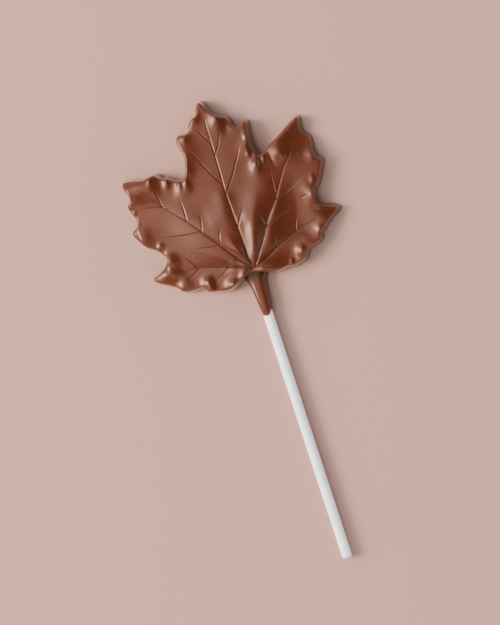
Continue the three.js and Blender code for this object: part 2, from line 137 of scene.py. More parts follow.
DEEP_TWIGS = [
    [(-9.0, 3.9), (-12, 1.9), (-16.6, -1.0)],
    [(-20.5, 7.0), (-22.7, 5.6), (-26.3, 3.4)],
    [(10.3, 14.6), (15.8, 16.3), (22.5, 18.8)],
    [(16.9, 23.5), (21.9, 24.8), (29.9, 29.0)],
    [(-0.9, 31.9), (1.5, 35), (4.8, 39.7), (8, 44.7), (10.1, 48.5)],
]
FAINT_TWIGS = [
    [(11.7, 5.5), (14, 3.8), (17.5, 1.2)],
    [(20.6, 8.8), (24, 7.2), (28.0, 4.9)],
    [(-1.1, 28), (-3.4, 30.4), (-7.6, 35.0)],
    [(-1, 20.3), (-4.9, 23.3), (-7.2, 25.0)],
    [(27.0, 20.7), (30.8, 21.6)],
]
# How deep those two kinds are cut beside the plain ones.
DEEP_SHARE, FAINT_SHARE = 1.7, 0.3
# The shape of every groove's sides: 1 is a straight V, more eases its shoulders.
GROOVE_POWER = 1.25

# Swells and dimples of the face: x and y of the middle, length, width on the left and on the
# right of the length, the length's direction in degrees, height.
ROOT_FOLDS = [
    (2.9, 7.0, 5.0, 1.8, 2.4, 70, 0.6),
    (3.9, 12.0, 8.0, 2.4, 2.6, 79, 0.6),
    (6.2, 17.0, 8.0, 3.6, 4.6, 74, 1.4),
    (9.5, 24.0, 6.0, 6.0, 9.0, 75, 0.8),
    (3.4, 21.0, 3.5, 1.7, 2.0, 66, 0.4),
    (7.6, 11.2, 7.5, 3.0, 0.9, 56, -0.2),
    (10.2, 11.4, 8.0, 1.8, 3.0, 57, 0.4),
    (16.4, 20.9, 6.0, 1.3, 2.4, 56, 0.6),
    (-3.3, 19.0, 12.0, 7.0, 6.0, 97, 1.6),
    (-9.2, 22.5, 4.5, 2.6, 7.0, 95, 0.6),
    (-3.2, 7.5, 5.5, 2.1, 2.0, 116, 1.1),
    (-3.2, 30.0, 3.6, 3.0, 3.6, 98, 0.5),
    (-14.5, 33.0, 8.0, 10.0, 9.0, 95, 0.5),
    (-13.0, 18.0, 15.0, 8.5, 4.5, 124, 1.7),
    (23.0, 15.0, 12.0, 8.5, 7.5, 75, -1.9),
    (14.0, 30.0, 8.0, 7.0, 6.0, 75, 0.5),
    (16.5, -0.5, 4.5, 7.0, 4.0, 75, -1.2),
    (-2.8, 1.2, 2.5, 5.0, 1.5, 80, 1.2),
    (-7.6, 3.0, 3.0, 3.0, 1.6, 80, 0.4),
    (-0.5, -0.8, 2.5, 1.5, 1.5, 0, -0.6),
    (3.6, 0.4, 2.4, 2.4, 4.0, 80, 0.8),
]
MIDDLE_LOBE_SWELLS = [
    (1.5, 45.0, 12.0, 24.0, 8.0, 88, 0.4),
    (4.2, 61.4, 3.6, 2.4, 2.2, 74, 1.2),
    (-4.6, 64.4, 3.0, 0.9, 2.6, 75, 0.7),
    (7.6, 58.0, 3.5, 2.0, 2.0, 65, -0.5),
    (-10.4, 57.5, 2.4, 1.3, 1.2, 84, 0.3),
    (-10.0, 58.4, 2.4, 1.1, 2.4, 0, 0.4),
    (-14.0, 52.0, 8.0, 2.0, 7.0, 88, 1.2),
    (-14.2, 46.0, 4.0, 2.0, 3.0, 86, 0.9),
    (-15.4, 39.5, 2.6, 1.2, 2.2, 95, 0.5),
    (13.4, 50.8, 2.2, 1.2, 1.2, 82, 0.7),
    (11.8, 46.5, 3.5, 2.6, 1.6, 78, 0.6),
    (12.1, 43.9, 1.5, 0.8, 0.9, 78, 0.45),
]
RIGHT_LOBE_SWELLS = [
    (13.9, 39.4, 2.8, 2.1, 1.2, 80, 1.3),
    (13.0, 36.0, 4.0, 3.0, 3.4, 74, 0.5),
    (14.6, 42.6, 1.2, 0.6, 0.8, 80, 0.4),
    (17.3, 40.6, 1.8, 0.7, 0.7, 78, 0.5),
    (20.2, 40.0, 2.4, 0.8, 0.6, 100, -0.35),
    (23.9, 40.6, 3.2, 2.6, 3.2, 110, 1.2),
    (27.0, 46.4, 5.5, 1.3, 2.2, 29, 0.6),
    (31.6, 48.4, 3.5, 1.4, 2.6, 32, 0.5),
    (36.5, 44.0, 6.0, 8.0, 4.0, 66, -2.0),
    (35.9, 36.4, 2.4, 2.0, 1.2, 80, 0.7),
    (33.1, 26.4, 1.6, 1.0, 0.8, 82, 0.5),
    (31.8, 20.0, 3.4, 2.6, 1.0, 90, 1.3),
    (29.4, 23.6, 3.2, 3.2, 3.0, 80, 0.7),
    (28.6, 17.5, 4.0, 3.0, 3.0, 84, 0.3),
    (32.2, 15.8, 1.0, 0.7, 0.8, 80, 0.45),
]
RIGHT_FOOT_SWELLS = [
    (38.0, 12.5, 3.5, 6.0, 3.0, 75, -1.8),
    (29.8, 7.2, 1.5, 1.1, 1.0, 80, 0.4),
    (20.5, 0.9, 2.7, 2.5, 1.1, 80, 1.3),
    (22.8, 3.2, 2.2, 1.3, 4.0, 78, 0.4),
    (26.0, 7.6, 2.6, 3.2, 2.4, 80, -0.4),
    (15.4, -2.0, 1.4, 0.7, 0.7, 70, 0.4),
    (4.6, -1.4, 4.2, 1.0, 1.1, -12, 1.0),
]
LEFT_FOOT_SWELLS = [
    (-4.8, -1.9, 2.4, 1.8, 1.0, 48, 1.1),
    (-9.4, -3.6, 2.5, 2.7, 1.6, 70, 1.6),
    (-19.0, 0.2, 2.6, 2.2, 2.2, 80, 1.3),
    (-18.6, -2.8, 2.2, 1.1, 1.8, 84, 1.0),
    (-31.0, 13.2, 3.2, 1.2, 3.2, 80, 1.7),
    (-28.3, 2.2, 3.0, 2.4, 3.0, 68, 0.9),
    (-33.5, 8.4, 2.6, 2.6, 6.0, 70, 1.3),
]
LEFT_LOBE_SWELLS = [
    (-32.8, 20.2, 1.5, 0.9, 1.6, 72, 0.6),
    (-38.8, 25.5, 5.5, 1.5, 4.5, 92, 1.2),
    (-39.0, 31.0, 1.8, 1.2, 0.9, 70, 0.4),
    (-38.8, 43.0, 4.0, 1.5, 1.8, 85, 0.5),
    (-38.4, 36.0, 1.2, 1.0, 0.8, 60, 0.3),
    (-39.2, 39.0, 1.2, 1.0, 0.8, 60, 0.3),
    (-28.8, 46.8, 2.0, 1.0, 2.4, 80, 0.9),
    (-34.8, 46.2, 5.5, 1.6, 4.0, 2, 0.7),
    (-30.4, 43.0, 4.4, 13.0, 4.2, 84, 1.7),
    (-22.4, 44.0, 3.0, 1.3, 1.4, 78, 1.0),
    (-17.8, 41.0, 1.9, 1.0, 1.0, 80, 0.7),
    (-17.4, 38.5, 3.5, 3.0, 2.4, 80, 0.6),
    (-14.9, 41.8, 1.7, 0.9, 0.8, 90, 0.6),
]
SWELLS = (ROOT_FOLDS + MIDDLE_LOBE_SWELLS + RIGHT_LOBE_SWELLS + RIGHT_FOOT_SWELLS
          + LEFT_FOOT_SWELLS + LEFT_LOBE_SWELLS)

# The rim is more rounded where it faces this way, turned from +X, by up to this share.
WORN_SIDE = math.radians(125)
WORN_EXTRA = 0.3

# The face between its swells: a low dome, and pillows between the main veins, which rise over
# the run beside a vein and are lower far from the root. All in millimetres but the two shares.
DOME = {"rise": 1.5, "reach": 40.0, "x": -3.0, "y": 24.0, "lengthwise": 0.5}
PILLOW = {"rise": 1.3, "run": 3.0, "reach": 22.0, "share_far": 0.05}

# The stalk in sections along Y from its mouth: y, its left and right side at the shoulder, how
# far the foot stands outside them, height of the top.
STALK_SECTIONS = [
    (-19.5, -2.05, 2.25, -0.35, 5.32), (-18.0, -2.12, 2.40, -0.30, 5.52),
    (-16.7, -2.22, 2.50, -0.15, 5.68), (-14.0, -2.45, 2.58, 0.10, 5.80),
    (-10.7, -2.75, 2.68, 0.28, 5.85), (-7.5, -3.00, 2.95, 0.40, 5.80),
    (-5.6, -3.25, 3.25, 0.50, 5.70), (-4.6, -3.70, 3.50, 0.60, 5.60),
    (-3.8, -4.30, 4.10, 0.70, 5.55), (-2.8, -4.90, 4.60, 0.80, 5.50),
    (-1.0, -4.60, 4.50, 0.80, 5.45), (1.0, -3.60, 3.60, 0.60, 5.40),
]
# How high the shoulder is, where the rounded top half meets the foot.
STALK_SHOULDER = 3.0
# How full the top half of a section is, along Y: 2 is an ellipse, more is flatter on top.
STALK_FULLNESS = [(-19.5, 2.0), (-17.0, 2.5), (-12.0, 2.8), (-2.0, 2.8)]
# The mouth's edge, x and y from left to right: the chocolate ends sooner on the right.
STALK_MOUTH = [
    (-2.3, -18.6), (-1.6, -19.2), (-0.7, -19.45), (0.15, -19.5), (0.8, -19.3), (1.3, -18.8),
    (1.9, -17.7), (2.5, -17.4),
]
# The rounded lip of the mouth: share of the section's size, millimetres in from the edge.
STALK_LIP = [(0.78, 0.40), (0.84, 0.04), (0.94, 0.0), (0.98, 0.06), (0.995, 0.16)]
# Where the mouth's edge and the painted shade in the crease below the leaf's rim end.
MOUTH_END, CREASE_END, CREASE_FULL = -14.5, -4.6, -3.0


class LeafSettings(bpy.types.PropertyGroup):
    rim_height: FloatProperty(
        name="Rim Height", description="Height of the leaf's rim above its flat back",
        default=6.3 * MM, min=3 * MM, unit="LENGTH", precision=5)
    wall_draft: FloatProperty(
        name="Wall Draft", description="How far the wall's foot lies outside the rim",
        default=1.05 * MM, min=0.0, unit="LENGTH", precision=5)
    edge_round: FloatProperty(
        name="Edge Rounding", description="Radius of the rim's rounded edge",
        default=0.8 * MM, min=0.1 * MM, unit="LENGTH", precision=5)
    groove_depth: FloatProperty(
        name="Main Vein Depth", description="Depth of the five main veins at the root",
        default=0.26 * MM, min=0.0, unit="LENGTH", precision=5)
    groove_half: FloatProperty(
        name="Main Vein Half Width", description="Half width of the main veins' grooves",
        default=0.68 * MM, min=0.1 * MM, unit="LENGTH", precision=5)
    twig_depth: FloatProperty(
        name="Side Vein Depth", description="Depth of the side veins where they start",
        default=0.21 * MM, min=0.0, unit="LENGTH", precision=5)
    twig_half: FloatProperty(
        name="Side Vein Half Width", description="Half width of the side veins' grooves",
        default=0.44 * MM, min=0.1 * MM, unit="LENGTH", precision=5)
    chocolate: FloatVectorProperty(
        name="Milk Chocolate", description="Colour of the chocolate",
        default=(0.072, 0.0155, 0.0060), min=0.0, max=1.0, subtype="COLOR")


class StickSettings(bpy.types.PropertyGroup):
    diameter: FloatProperty(
        name="Diameter", description="Diameter of the rolled paper stick",
        default=stick_high.x - stick_low.x, min=1 * MM, unit="LENGTH", precision=5)
    end_round: FloatProperty(
        name="End Rounding", description="Radius of the stick's rounded end",
        default=1.2 * MM, min=0.1 * MM, unit="LENGTH", precision=5)
    paper: FloatVectorProperty(
        name="Paper", description="Colour of the paper",
        default=(0.96, 0.945, 0.875), min=0.0, max=1.0, subtype="COLOR")


class StageSettings(bpy.types.PropertyGroup):
    floor: FloatVectorProperty(
        name="Floor", description="Colour of the surface that the lollipop lies on",
        default=(0.46, 0.243, 0.191), min=0.0, max=1.0, subtype="COLOR")
    key_height: FloatProperty(
        name="Key Height", description="How high the key light stands above the horizon",
        default=math.radians(38), subtype="ANGLE")
    key_power: FloatProperty(
        name="Key Power", description="Power of the key light",
        default=80.0, min=0.0, unit="POWER")
    top_height: FloatProperty(
        name="Top Light Height", description="How high the top light stands above the horizon",
        default=math.radians(65), subtype="ANGLE")
    top_power: FloatProperty(
        name="Top Light Power", description="Power of the top light",
        default=21.0, min=0.0, unit="POWER")
    end_height: FloatProperty(
        name="End Light Height", description="How high the two end lights stand above the horizon",
        default=math.radians(50), subtype="ANGLE")
    tip_power: FloatProperty(
        name="Tip Light Power", description="Power of the light beyond the leaf's tip",
        default=12.0, min=0.0, unit="POWER")
    stick_power: FloatProperty(
        name="Stick Light Power", description="Power of the light beyond the stick's end",
        default=16.0, min=0.0, unit="POWER")
    light_distance: FloatProperty(
        name="Light Distance", description="How far the lights are from the leaf",
        default=2.0, min=0.1, unit="LENGTH")
    camera_distance: FloatProperty(
        name="Camera Distance", description="How far the camera is from the lollipop",
        default=0.9, min=0.3, unit="LENGTH")


class Value:
    """A number on a shader socket. Sums with it add Math nodes to its tree."""

    def __init__(self, board, socket):
        self.board = board
        self.socket = socket

    def _join(self, operation, first, second):
        made = self.board.node("ShaderNodeMath", {"operation": operation}, {0: first, 1: second})
        return Value(self.board, made.outputs[0])

    def __add__(self, other):
        return self._join("ADD", self, other)

    def __sub__(self, other):
        return self._join("SUBTRACT", self, other)

    def __rsub__(self, other):
        return self._join("SUBTRACT", other, self)

    def __mul__(self, other):
        return self._join("MULTIPLY", self, other)

    __radd__ = __add__
    __rmul__ = __mul__

    def fitted(self, low, high, to_low=0.0, to_high=1.0):
        """The value carried from one range to another, and held to it."""
        made = self.board.node(
            "ShaderNodeMapRange", {"interpolation_type": "SMOOTHSTEP"},
            {"Value": self, "From Min": low, "From Max": high,
             "To Min": to_low, "To Max": to_high})
        return Value(self.board, made.outputs[0])


class Board:
    """The node tree of a material or of the world."""

    def __init__(self, tree):
        self.tree = tree
        tree.nodes.clear()

    def node(self, kind, settings=None, inputs=None):
        made = self.tree.nodes.new(kind)
        for name, value in (settings or {}).items():
            setattr(made, name, value)
        for name, value in (inputs or {}).items():
            self.feed(made.inputs[name], value)
        return made

    def feed(self, socket, value):
        if isinstance(value, Value):
            value = value.socket
        if isinstance(value, bpy.types.NodeSocket):
            self.tree.links.new(value, socket)
        else:
            socket.default_value = value

    def noise(self, place, scale, detail=3.0, roughness=0.5):
        made = self.node("ShaderNodeTexNoise", None,
                         {"Vector": place, "Scale": scale, "Detail": detail,
                          "Roughness": roughness})
        return Value(self, made.outputs["Fac"])

    def mix(self, factor, first, second):
        """One colour turning into another."""
        made = self.node("ShaderNodeMix", {"data_type": "RGBA"})
        self.feed(made.inputs["Factor"], factor)
        self.feed(made.inputs["A"], first)
        self.feed(made.inputs["B"], second)
        return made.outputs["Result"]

    def attribute(self, name):
        made = self.node("ShaderNodeAttribute", {"attribute_name": name})
        return Value(self, made.outputs["Fac"])

    def bump(self, height, distance, before=None):
        """A bump of that many metres, over another one if there is one."""
        inputs = {"Strength": 1.0, "Distance": distance, "Height": height}
        if before is not None:
            inputs["Normal"] = before
        return self.node("ShaderNodeBump", None, inputs).outputs["Normal"]


def rgba(colour, factor=1.0):
    return (*(min(1.0, channel * factor) for channel in colour), 1.0)


def spline(points, step, closed=False):
    """A centripetal curve through the points, in nearly even steps."""
    p = [np.array(point, float) for point in points]
    count = len(p)
    curve = []
    for i in range(count if closed else count - 1):
        a, b = p[i], p[(i + 1) % count]
        before = p[i - 1] if closed or i else 2 * a - b
        after = p[(i + 2) % count] if closed or i + 2 < count else 2 * b - a
        four = (before, a, b, after)
        knots = [0.0]
        for one, two in zip(four, four[1:]):
            knots.append(knots[-1] + math.sqrt(np.linalg.norm(two - one)))
        pieces = max(2, math.ceil(np.linalg.norm(b - a) / step))
        for u in np.linspace(knots[1], knots[2], pieces, endpoint=False):
            layer = list(four)
            for reach in (1, 2, 3):
                layer = [
                    _between(layer[k], layer[k + 1], *_span(knots, k, reach), u)
                    for k in range(4 - reach)
                ]
            curve.append(layer[0])
    if not closed:
        curve.append(p[-1])
    return np.array(curve)


def _span(knots, k, reach):
    """The stretch of knots that one blend of the curve runs over."""
    if reach == 1:
        return knots[k], knots[k + 1]
    if reach == 2:
        return knots[k], knots[k + 2]
    return knots[1], knots[2]


def _between(first, second, start, end, u):
    share = (u - start) / (end - start)
    return (1 - share) * first + share * second


def path_distance(x, y, path):
    """Distance of places to a path, and how far along it that is, from 0 to 1."""
    best = np.full(x.shape, np.inf)
    along = np.zeros(x.shape)
    steps = np.diff(path, axis=0)
    lengths = np.hypot(steps[:, 0], steps[:, 1])
    start = 0.0
    for (ax, ay), (dx, dy), length in zip(path[:-1], steps, lengths):
        u = np.clip(((x - ax) * dx + (y - ay) * dy) / length ** 2, 0, 1)
        distance = np.hypot(x - ax - u * dx, y - ay - u * dy)
        nearer = distance < best
        best = np.where(nearer, distance, best)
        along = np.where(nearer, (start + u * length) / lengths.sum(), along)
        start += length
    return best, along


def bell(distance, run):
    return np.exp(-(distance / run) ** 2)


def cut(distance, half):
    """How deep a vein is cut at that distance from its middle, from 1 at the middle to 0."""
    return np.clip(1 - distance / half, 0, 1) ** GROOVE_POWER


def eased(share):
    """A share held between 0 and 1, with a soft start and end."""
    share = min(1.0, max(0.0, share))
    return share * share * (3 - 2 * share)


def swell_height(x, y, swell):
    cx, cy, length, left, right, degrees, height = swell
    turn = math.radians(degrees)
    u = (x - cx) * math.cos(turn) + (y - cy) * math.sin(turn)
    v = (y - cy) * math.cos(turn) - (x - cx) * math.sin(turn)
    return height * bell(u, length) * bell(v, np.where(v > 0, left, right))


class LeafForm:
    """The drawn leaf in millimetres: its rim, its veins and the height of its face."""

    # The steps of the rim's curve and of the veins' curves.
    rim_step, vein_step = 0.4, 0.3

    def __init__(self, settings):
        self.rim = spline(RIM, self.rim_step, closed=True)
        self.ring = np.vstack([self.rim, self.rim[:1]])
        self.mains, self.twigs, self.deep, self.faint = (
            [spline(vein, self.vein_step) for vein in veins]
            for veins in (MAIN_VEINS, TWIGS, DEEP_TWIGS, FAINT_TWIGS))
        self.rim_height = settings.rim_height / MM
        normals = side_normals(self.ring, False)
        facing = np.clip(normals @ (math.cos(WORN_SIDE), math.sin(WORN_SIDE)), 0, 1)
        self.edge_round = settings.edge_round / MM * (1 + WORN_EXTRA * facing)
        self.main_groove = settings.groove_depth / MM, settings.groove_half / MM
        self.twig_groove = settings.twig_depth / MM, settings.twig_half / MM

    def base_height(self, x, y, to_vein):
        """The rim's height with the dome and the pillows on it."""
        across = (x - DOME["x"]) ** 2 + DOME["lengthwise"] * (y - DOME["y"]) ** 2
        dome = DOME["rise"] * (1 - across / DOME["reach"] ** 2)
        near_root = bell(np.hypot(x, y), PILLOW["reach"])
        share = PILLOW["share_far"] + (1 - PILLOW["share_far"]) * near_root
        pillow = PILLOW["rise"] * share * (1 - np.exp(-to_vein / PILLOW["run"]))
        return self.rim_height + dome + pillow

    def face(self, places):
        """Height, distance to the rim, and depth of the grooves at each place."""
        x, y = places[:, 0], places[:, 1]
        mains = [path_distance(x, y, path) for path in self.mains]
        to_rim, along_rim = path_distance(x, y, self.ring)
        height = self.base_height(x, y, np.min([distance for distance, _ in mains], axis=0))
        for swell in SWELLS:
            height += swell_height(x, y, swell)
        depth, half = self.main_groove
        groove = sum(share * depth * (1 - MAIN_FADE * along ** FADE_POWER)
                     * cut(distance, half * (1 - NARROWING * along))
                     for share, (distance, along) in zip(MAIN_SHARES, mains))
        depth, half = self.twig_groove
        for paths, share, power in ((self.twigs, 1.0, 2), (self.deep, DEEP_SHARE, 2),
                                    (self.faint, FAINT_SHARE, 1)):
            for path in paths:
                distance, along = path_distance(x, y, path)
                groove += share * depth * (1 - along ** power) * cut(distance, half)
        steps = np.hypot(*np.diff(self.ring, axis=0).T)
        shares = np.append(0, np.cumsum(steps)) / steps.sum()
        edge_round = np.interp(along_rim, shares, self.edge_round)
        inward = np.clip(edge_round - to_rim, 0, edge_round)
        drop = edge_round - np.sqrt(edge_round ** 2 - inward ** 2)
        return height - groove - drop, to_rim, groove


# Rows of the fine skin beside the rim and beside each vein: how far from it a row lies, and how
# close its points may come to others.
RIM_ROWS = [(0.10, 0.08), (0.26, 0.13), (0.48, 0.18), (0.76, 0.23), (1.08, 0.28)]
VEIN_ROWS = [(0.0, 0.13), (0.14, 0.11), (0.29, 0.13), (0.44, 0.14), (0.60, 0.15), (0.82, 0.21)]
# The even triangle grid between those rows: its step, and how close it may come to them.
SKIN_STEP, SKIN_CLEAR = 0.46, 0.31


def side_normals(path, closed, reach=1):
    """Unit normals in the plane, pointing right of the way of travel."""
    if closed:
        way = np.roll(path, -reach, axis=0) - np.roll(path, reach, axis=0)
    else:
        way = np.gradient(path, axis=0)
    normals = np.column_stack([way[:, 1], -way[:, 0]])
    return normals / np.linalg.norm(normals, axis=1)[:, None]


class Scatter:
    """Places that keep clear of each other, looked up by square cells."""

    # A cell's side, no less than the widest clearance.
    cell = 0.45

    def __init__(self):
        self.cells = {}
        self.places = []

    def add(self, x, y, clear):
        cx, cy = math.floor(x / self.cell), math.floor(y / self.cell)
        for i in (cx - 1, cx, cx + 1):
            for j in (cy - 1, cy, cy + 1):
                for k in self.cells.get((i, j), ()):
                    if math.dist(self.places[k], (x, y)) < clear:
                        return
        self.cells.setdefault((cx, cy), []).append(len(self.places))
        self.places.append((x, y))


def skin_places(form):
    """Where the fine skin has its points, the rim's first."""
    scatter = Scatter()
    for x, y in form.rim:
        scatter.add(x, y, 0.0)
    rim_normals = side_normals(form.rim, True)
    for inset, clear in RIM_ROWS:
        for (x, y), (nx, ny) in zip(form.rim, rim_normals):
            scatter.add(x - inset * nx, y - inset * ny, clear)
    for path in form.mains + form.twigs + form.deep + form.faint:
        normals = side_normals(path, False)
        for offset, clear in VEIN_ROWS:
            for side in (offset, -offset) if offset else (0.0,):
                for (x, y), (nx, ny) in zip(path, normals):
                    scatter.add(x + side * nx, y + side * ny, clear)
    low, high = form.rim.min(axis=0), form.rim.max(axis=0)
    row_step = SKIN_STEP * math.sqrt(0.75)
    for row in range(math.ceil((high[1] - low[1]) / row_step)):
        for column in range(math.ceil((high[0] - low[0]) / SKIN_STEP) + 1):
            x = low[0] + (column - 0.5 * (row % 2)) * SKIN_STEP
            scatter.add(x, low[1] + row * row_step, SKIN_CLEAR)
    return scatter.places


def placed(x, y, z):
    """A drawn place at its height, in metres, moved to where it truly lies."""
    shift = math.tan(VIEW_TILT) * (z - AXIS_HEIGHT)
    return Vector(((x / math.cos(VIEW_TILT) + shift) * MM, y * MM, z * MM))


def walk(loop):
    """The vertices of a closed loop of edges, in order."""
    inside = set(loop)
    first = loop[0]
    order = [first.verts[0]]
    vertex, edge = first.verts[1], first
    while vertex is not order[0]:
        order.append(vertex)
        edge = next(e for e in vertex.link_edges if e in inside and e is not edge)
        vertex = edge.other_vert(vertex)
    return order


def next_row(bm, loop, order):
    """Extrudes a loop: the new row's edges, and its vertices in the order of the last."""
    mates = {}
    made = bmesh.ops.extrude_edge_only(bm, edges=loop)["geom"]
    edges = [item for item in made
             if isinstance(item, bmesh.types.BMEdge) and item.is_boundary]
    fresh = {item for item in made if isinstance(item, bmesh.types.BMVert)}
    for vertex in order:
        for edge in vertex.link_edges:
            other = edge.other_vert(vertex)
            if other in fresh and (other.co - vertex.co).length_squared == 0.0:
                mates[vertex] = other
    return edges, [mates[vertex] for vertex in order]


def shade_layers(bm):
    """The three masks that the chocolate's material reads from its mesh: painted rim glow, painted
    groove shade, and the wall's coat with its painted reflection.
    """
    return [bm.verts.layers.float.new(name) for name in ("rim", "groove", "wall")]


def finished(name, bm, material, node):
    """A smooth object from the bmesh, riding on the body and standing for its node."""
    mesh = bpy.data.meshes.new(name)
    bm.to_mesh(mesh)
    bm.free()
    for polygon in mesh.polygons:
        polygon.use_smooth = True
    mesh.materials.append(material)
    piece = bpy.data.objects.new(name, mesh)
    bpy.context.scene.collection.objects.link(piece)
    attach(piece, "root")
    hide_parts(node)
    return piece


# Painted light in the chocolate's colour: a warm painted glow along a thin rim, and a greyish
# painted reflection of the floor on a wall.
WARM_RIM = (0.17, 0.046, 0.016)
DULL_WALL = (0.13, 0.065, 0.048)
# How far the rim, the wall and the grooves go over to their painted glow, painted reflection and
# painted shade.
RIM_TINT, WALL_TINT, GROOVE_TINT = 0.8, 0.35, 0.22


def milk_chocolate(colour):
    """Satin milk chocolate: clouds of colour, a painted glow on the rim, painted shade in the
    grooves, and coated walls with a painted reflection.
    """
    name = "satin_milk_chocolate"
    if name in bpy.data.materials:
        return bpy.data.materials[name]
    material = bpy.data.materials.new(name)
    material.use_nodes = True
    board = Board(material.node_tree)
    place = board.node("ShaderNodeTexCoord").outputs["Object"]
    clouds = board.noise(place, scale=110)
    mottle = board.noise(place, scale=620, detail=4, roughness=0.6)
    grain = board.noise(place, scale=4200, detail=2)
    # The rim mask carries a painted glow, the groove mask painted shade, and the wall mask the
    # wall's coat and a painted reflection.
    rim, groove, wall = (board.attribute(shade) for shade in ("rim", "groove", "wall"))
    tone = clouds.fitted(0.35, 0.65) * 0.6 + mottle.fitted(0.3, 0.7) * 0.4
    body = board.mix(tone, rgba(colour, 0.88), rgba(colour, 1.12))
    # Painted light: the rim's glow, shade in the grooves and the stalk's crease, and the floor's
    # reflection on the walls.
    warmed = board.mix(rim * RIM_TINT, body, rgba(WARM_RIM))
    shaded = board.mix(groove * GROOVE_TINT, warmed, rgba(colour, 0.45))
    dulled = board.mix(wall * WALL_TINT, shaded, rgba(DULL_WALL))
    satin = clouds.fitted(0.3, 0.7, to_low=0.26, to_high=0.32)
    roughness = satin + (grain - 0.5) * 0.05 - rim * 0.08 - wall * 0.20
    waves = board.bump(clouds, 0.06 * MM)
    pores = board.bump(mottle, 0.02 * MM, waves)
    normal = board.bump(grain, 0.004 * MM, pores)
    surface = board.node("ShaderNodeBsdfPrincipled", None, {
        "Base Color": dulled, "Roughness": roughness, "Normal": normal, "IOR": 1.5,
        "Coat Weight": wall, "Coat Roughness": 0.15, "Coat IOR": 1.4,
        "Specular IOR Level": 0.5, "Specular Tint": (1.0, 0.60, 0.48, 1.0)})
    board.node("ShaderNodeOutputMaterial", None, {"Surface": surface.outputs["BSDF"]})
    return material


def white_paper(colour):
    """Matt rolled paper: fibres along the stick and pale blots."""
    material = bpy.data.materials.new("rolled_white_paper")
    material.use_nodes = True
    board = Board(material.node_tree)
    place = board.node("ShaderNodeTexCoord").outputs["Object"]
    long_place = board.node("ShaderNodeMapping", {"vector_type": "POINT"},
                            {"Vector": place, "Scale": (1.0, 0.12, 1.0)}).outputs["Vector"]
    fibres = board.noise(long_place, scale=2600, detail=4, roughness=0.6)
    blots = board.noise(place, scale=300)
    tone = fibres.fitted(0.3, 0.7) * 0.5 + blots.fitted(0.3, 0.7) * 0.5
    body = board.mix(tone, rgba(colour, 0.95), rgba(colour, 1.03))
    normal = board.bump(fibres, 0.012 * MM)
    surface = board.node("ShaderNodeBsdfPrincipled", None, {
        "Base Color": body, "Roughness": fibres.fitted(0.3, 0.7, to_low=0.55, to_high=0.68),
        "Normal": normal, "IOR": 1.45})
    board.node("ShaderNodeOutputMaterial", None, {"Surface": surface.outputs["BSDF"]})
    return material


class OBJECT_OT_lollipop_leaf(bpy.types.Operator):
    """Makes the moulded leaf with its veined face, drafted wall and flat back"""
    bl_idname = "object.lollipop_leaf"
    bl_label = "Make Leaf"

    # The skin's triangles: only those inside the rim, from points no nearer than this.
    inside_only, merge_distance = 1, 1e-6
    # The wall from the rim down: share of the rim's height, share of the draft, metres inwards.
    wall_rows = [
        (0.86, 0.10, 0.0), (0.62, 0.33, 0.0), (0.40, 0.58, 0.0), (0.20, 0.80, 0.0),
        (0.085, 0.93, 0.0), (0.030, 1.0, 0.01 * MM), (0.008, 1.0, 0.05 * MM),
        (0.0, 1.0, 0.12 * MM),
    ]
    # The wall runs outwards square to the rim, smoothed over this many vertices on each side.
    smooth_reach = 3
    # The rim's painted glow: how many millimetres it reaches in from the rim, how strong it is at
    # the top of the wall, and the share of the wall's height at which it is gone.
    rim_inwards, rim_on_wall, rim_gone = 0.6, 0.8, 0.3125
    # The wall's coat and painted reflection: the share of the height at which they are full.
    wall_full = 0.25
    # A groove has its full painted shade from this depth in millimetres.
    full_groove = 0.25

    def execute(self, context):
        settings = context.scene.lollipop_leaf
        form = LeafForm(settings)
        places = [Vector(place) for place in skin_places(form)]
        rim = list(range(len(form.rim)))
        spots, _, corners, *_ = geometry.delaunay_2d_cdt(
            places, [], [rim], self.inside_only, self.merge_distance)
        spots = np.array([tuple(spot) for spot in spots])
        heights, to_rim, groove = form.face(spots)
        bm = bmesh.new()
        rim_shade, groove_shade, wall_shade = shade_layers(bm)
        vertices = []
        for (x, y), z, near, deep in zip(spots, heights, to_rim, groove):
            vertex = bm.verts.new(placed(x, y, z))
            # Painted glow near the rim, and painted shade in the grooves.
            vertex[rim_shade] = max(0.0, 1 - near / self.rim_inwards)
            vertex[groove_shade] = min(1.0, deep / self.full_groove)
            vertices.append(vertex)
        for face in corners:
            bm.faces.new([vertices[i] for i in face])
        bmesh.ops.delete(bm, geom=[v for v in bm.verts if not v.link_faces], context="VERTS")
        bmesh.ops.recalc_face_normals(bm, faces=bm.faces)
        if sum(face.normal.z for face in bm.faces) < 0:
            bmesh.ops.reverse_faces(bm, faces=bm.faces)
        self.make_wall(bm, settings, rim_shade, wall_shade)
        finished("leaf_blade", bm, milk_chocolate(settings.chocolate), "leaf")
        return {"FINISHED"}

    def make_wall(self, bm, settings, rim_shade, wall_shade):
        """Extrudes the skin's edge down the drafted wall to the foot, and closes the back."""
        loop = [edge for edge in bm.edges if edge.is_boundary]
        order = walk(loop)
        rim = np.array([vertex.co[:] for vertex in order])
        outward = side_normals(rim[:, :2], True, self.smooth_reach)
        x, y = rim[:, 0], rim[:, 1]
        clockwise = np.sum(x * np.roll(y, -1) - np.roll(x, -1) * y) < 0
        if clockwise:
            outward = -outward
        draft = settings.wall_draft
        for share_up, share_out, inward in self.wall_rows:
            loop, order = next_row(bm, loop, order)
            for vertex, start, (nx, ny) in zip(order, rim, outward):
                reach = draft * share_out - inward
                vertex.co = Vector((start[0] + nx * reach, start[1] + ny * reach,
                                    start[2] * share_up))
                down = 1 - share_up
                # Painted glow at the top of the wall, then the wall's coat and painted reflection
                # lower down.
                vertex[rim_shade] = max(0.0, 1 - down / self.rim_gone) * self.rim_on_wall
                vertex[wall_shade] = eased(down / self.wall_full)
        bmesh.ops.triangle_fill(bm, edges=loop, use_beauty=True)
        bmesh.ops.recalc_face_normals(bm, faces=bm.faces)


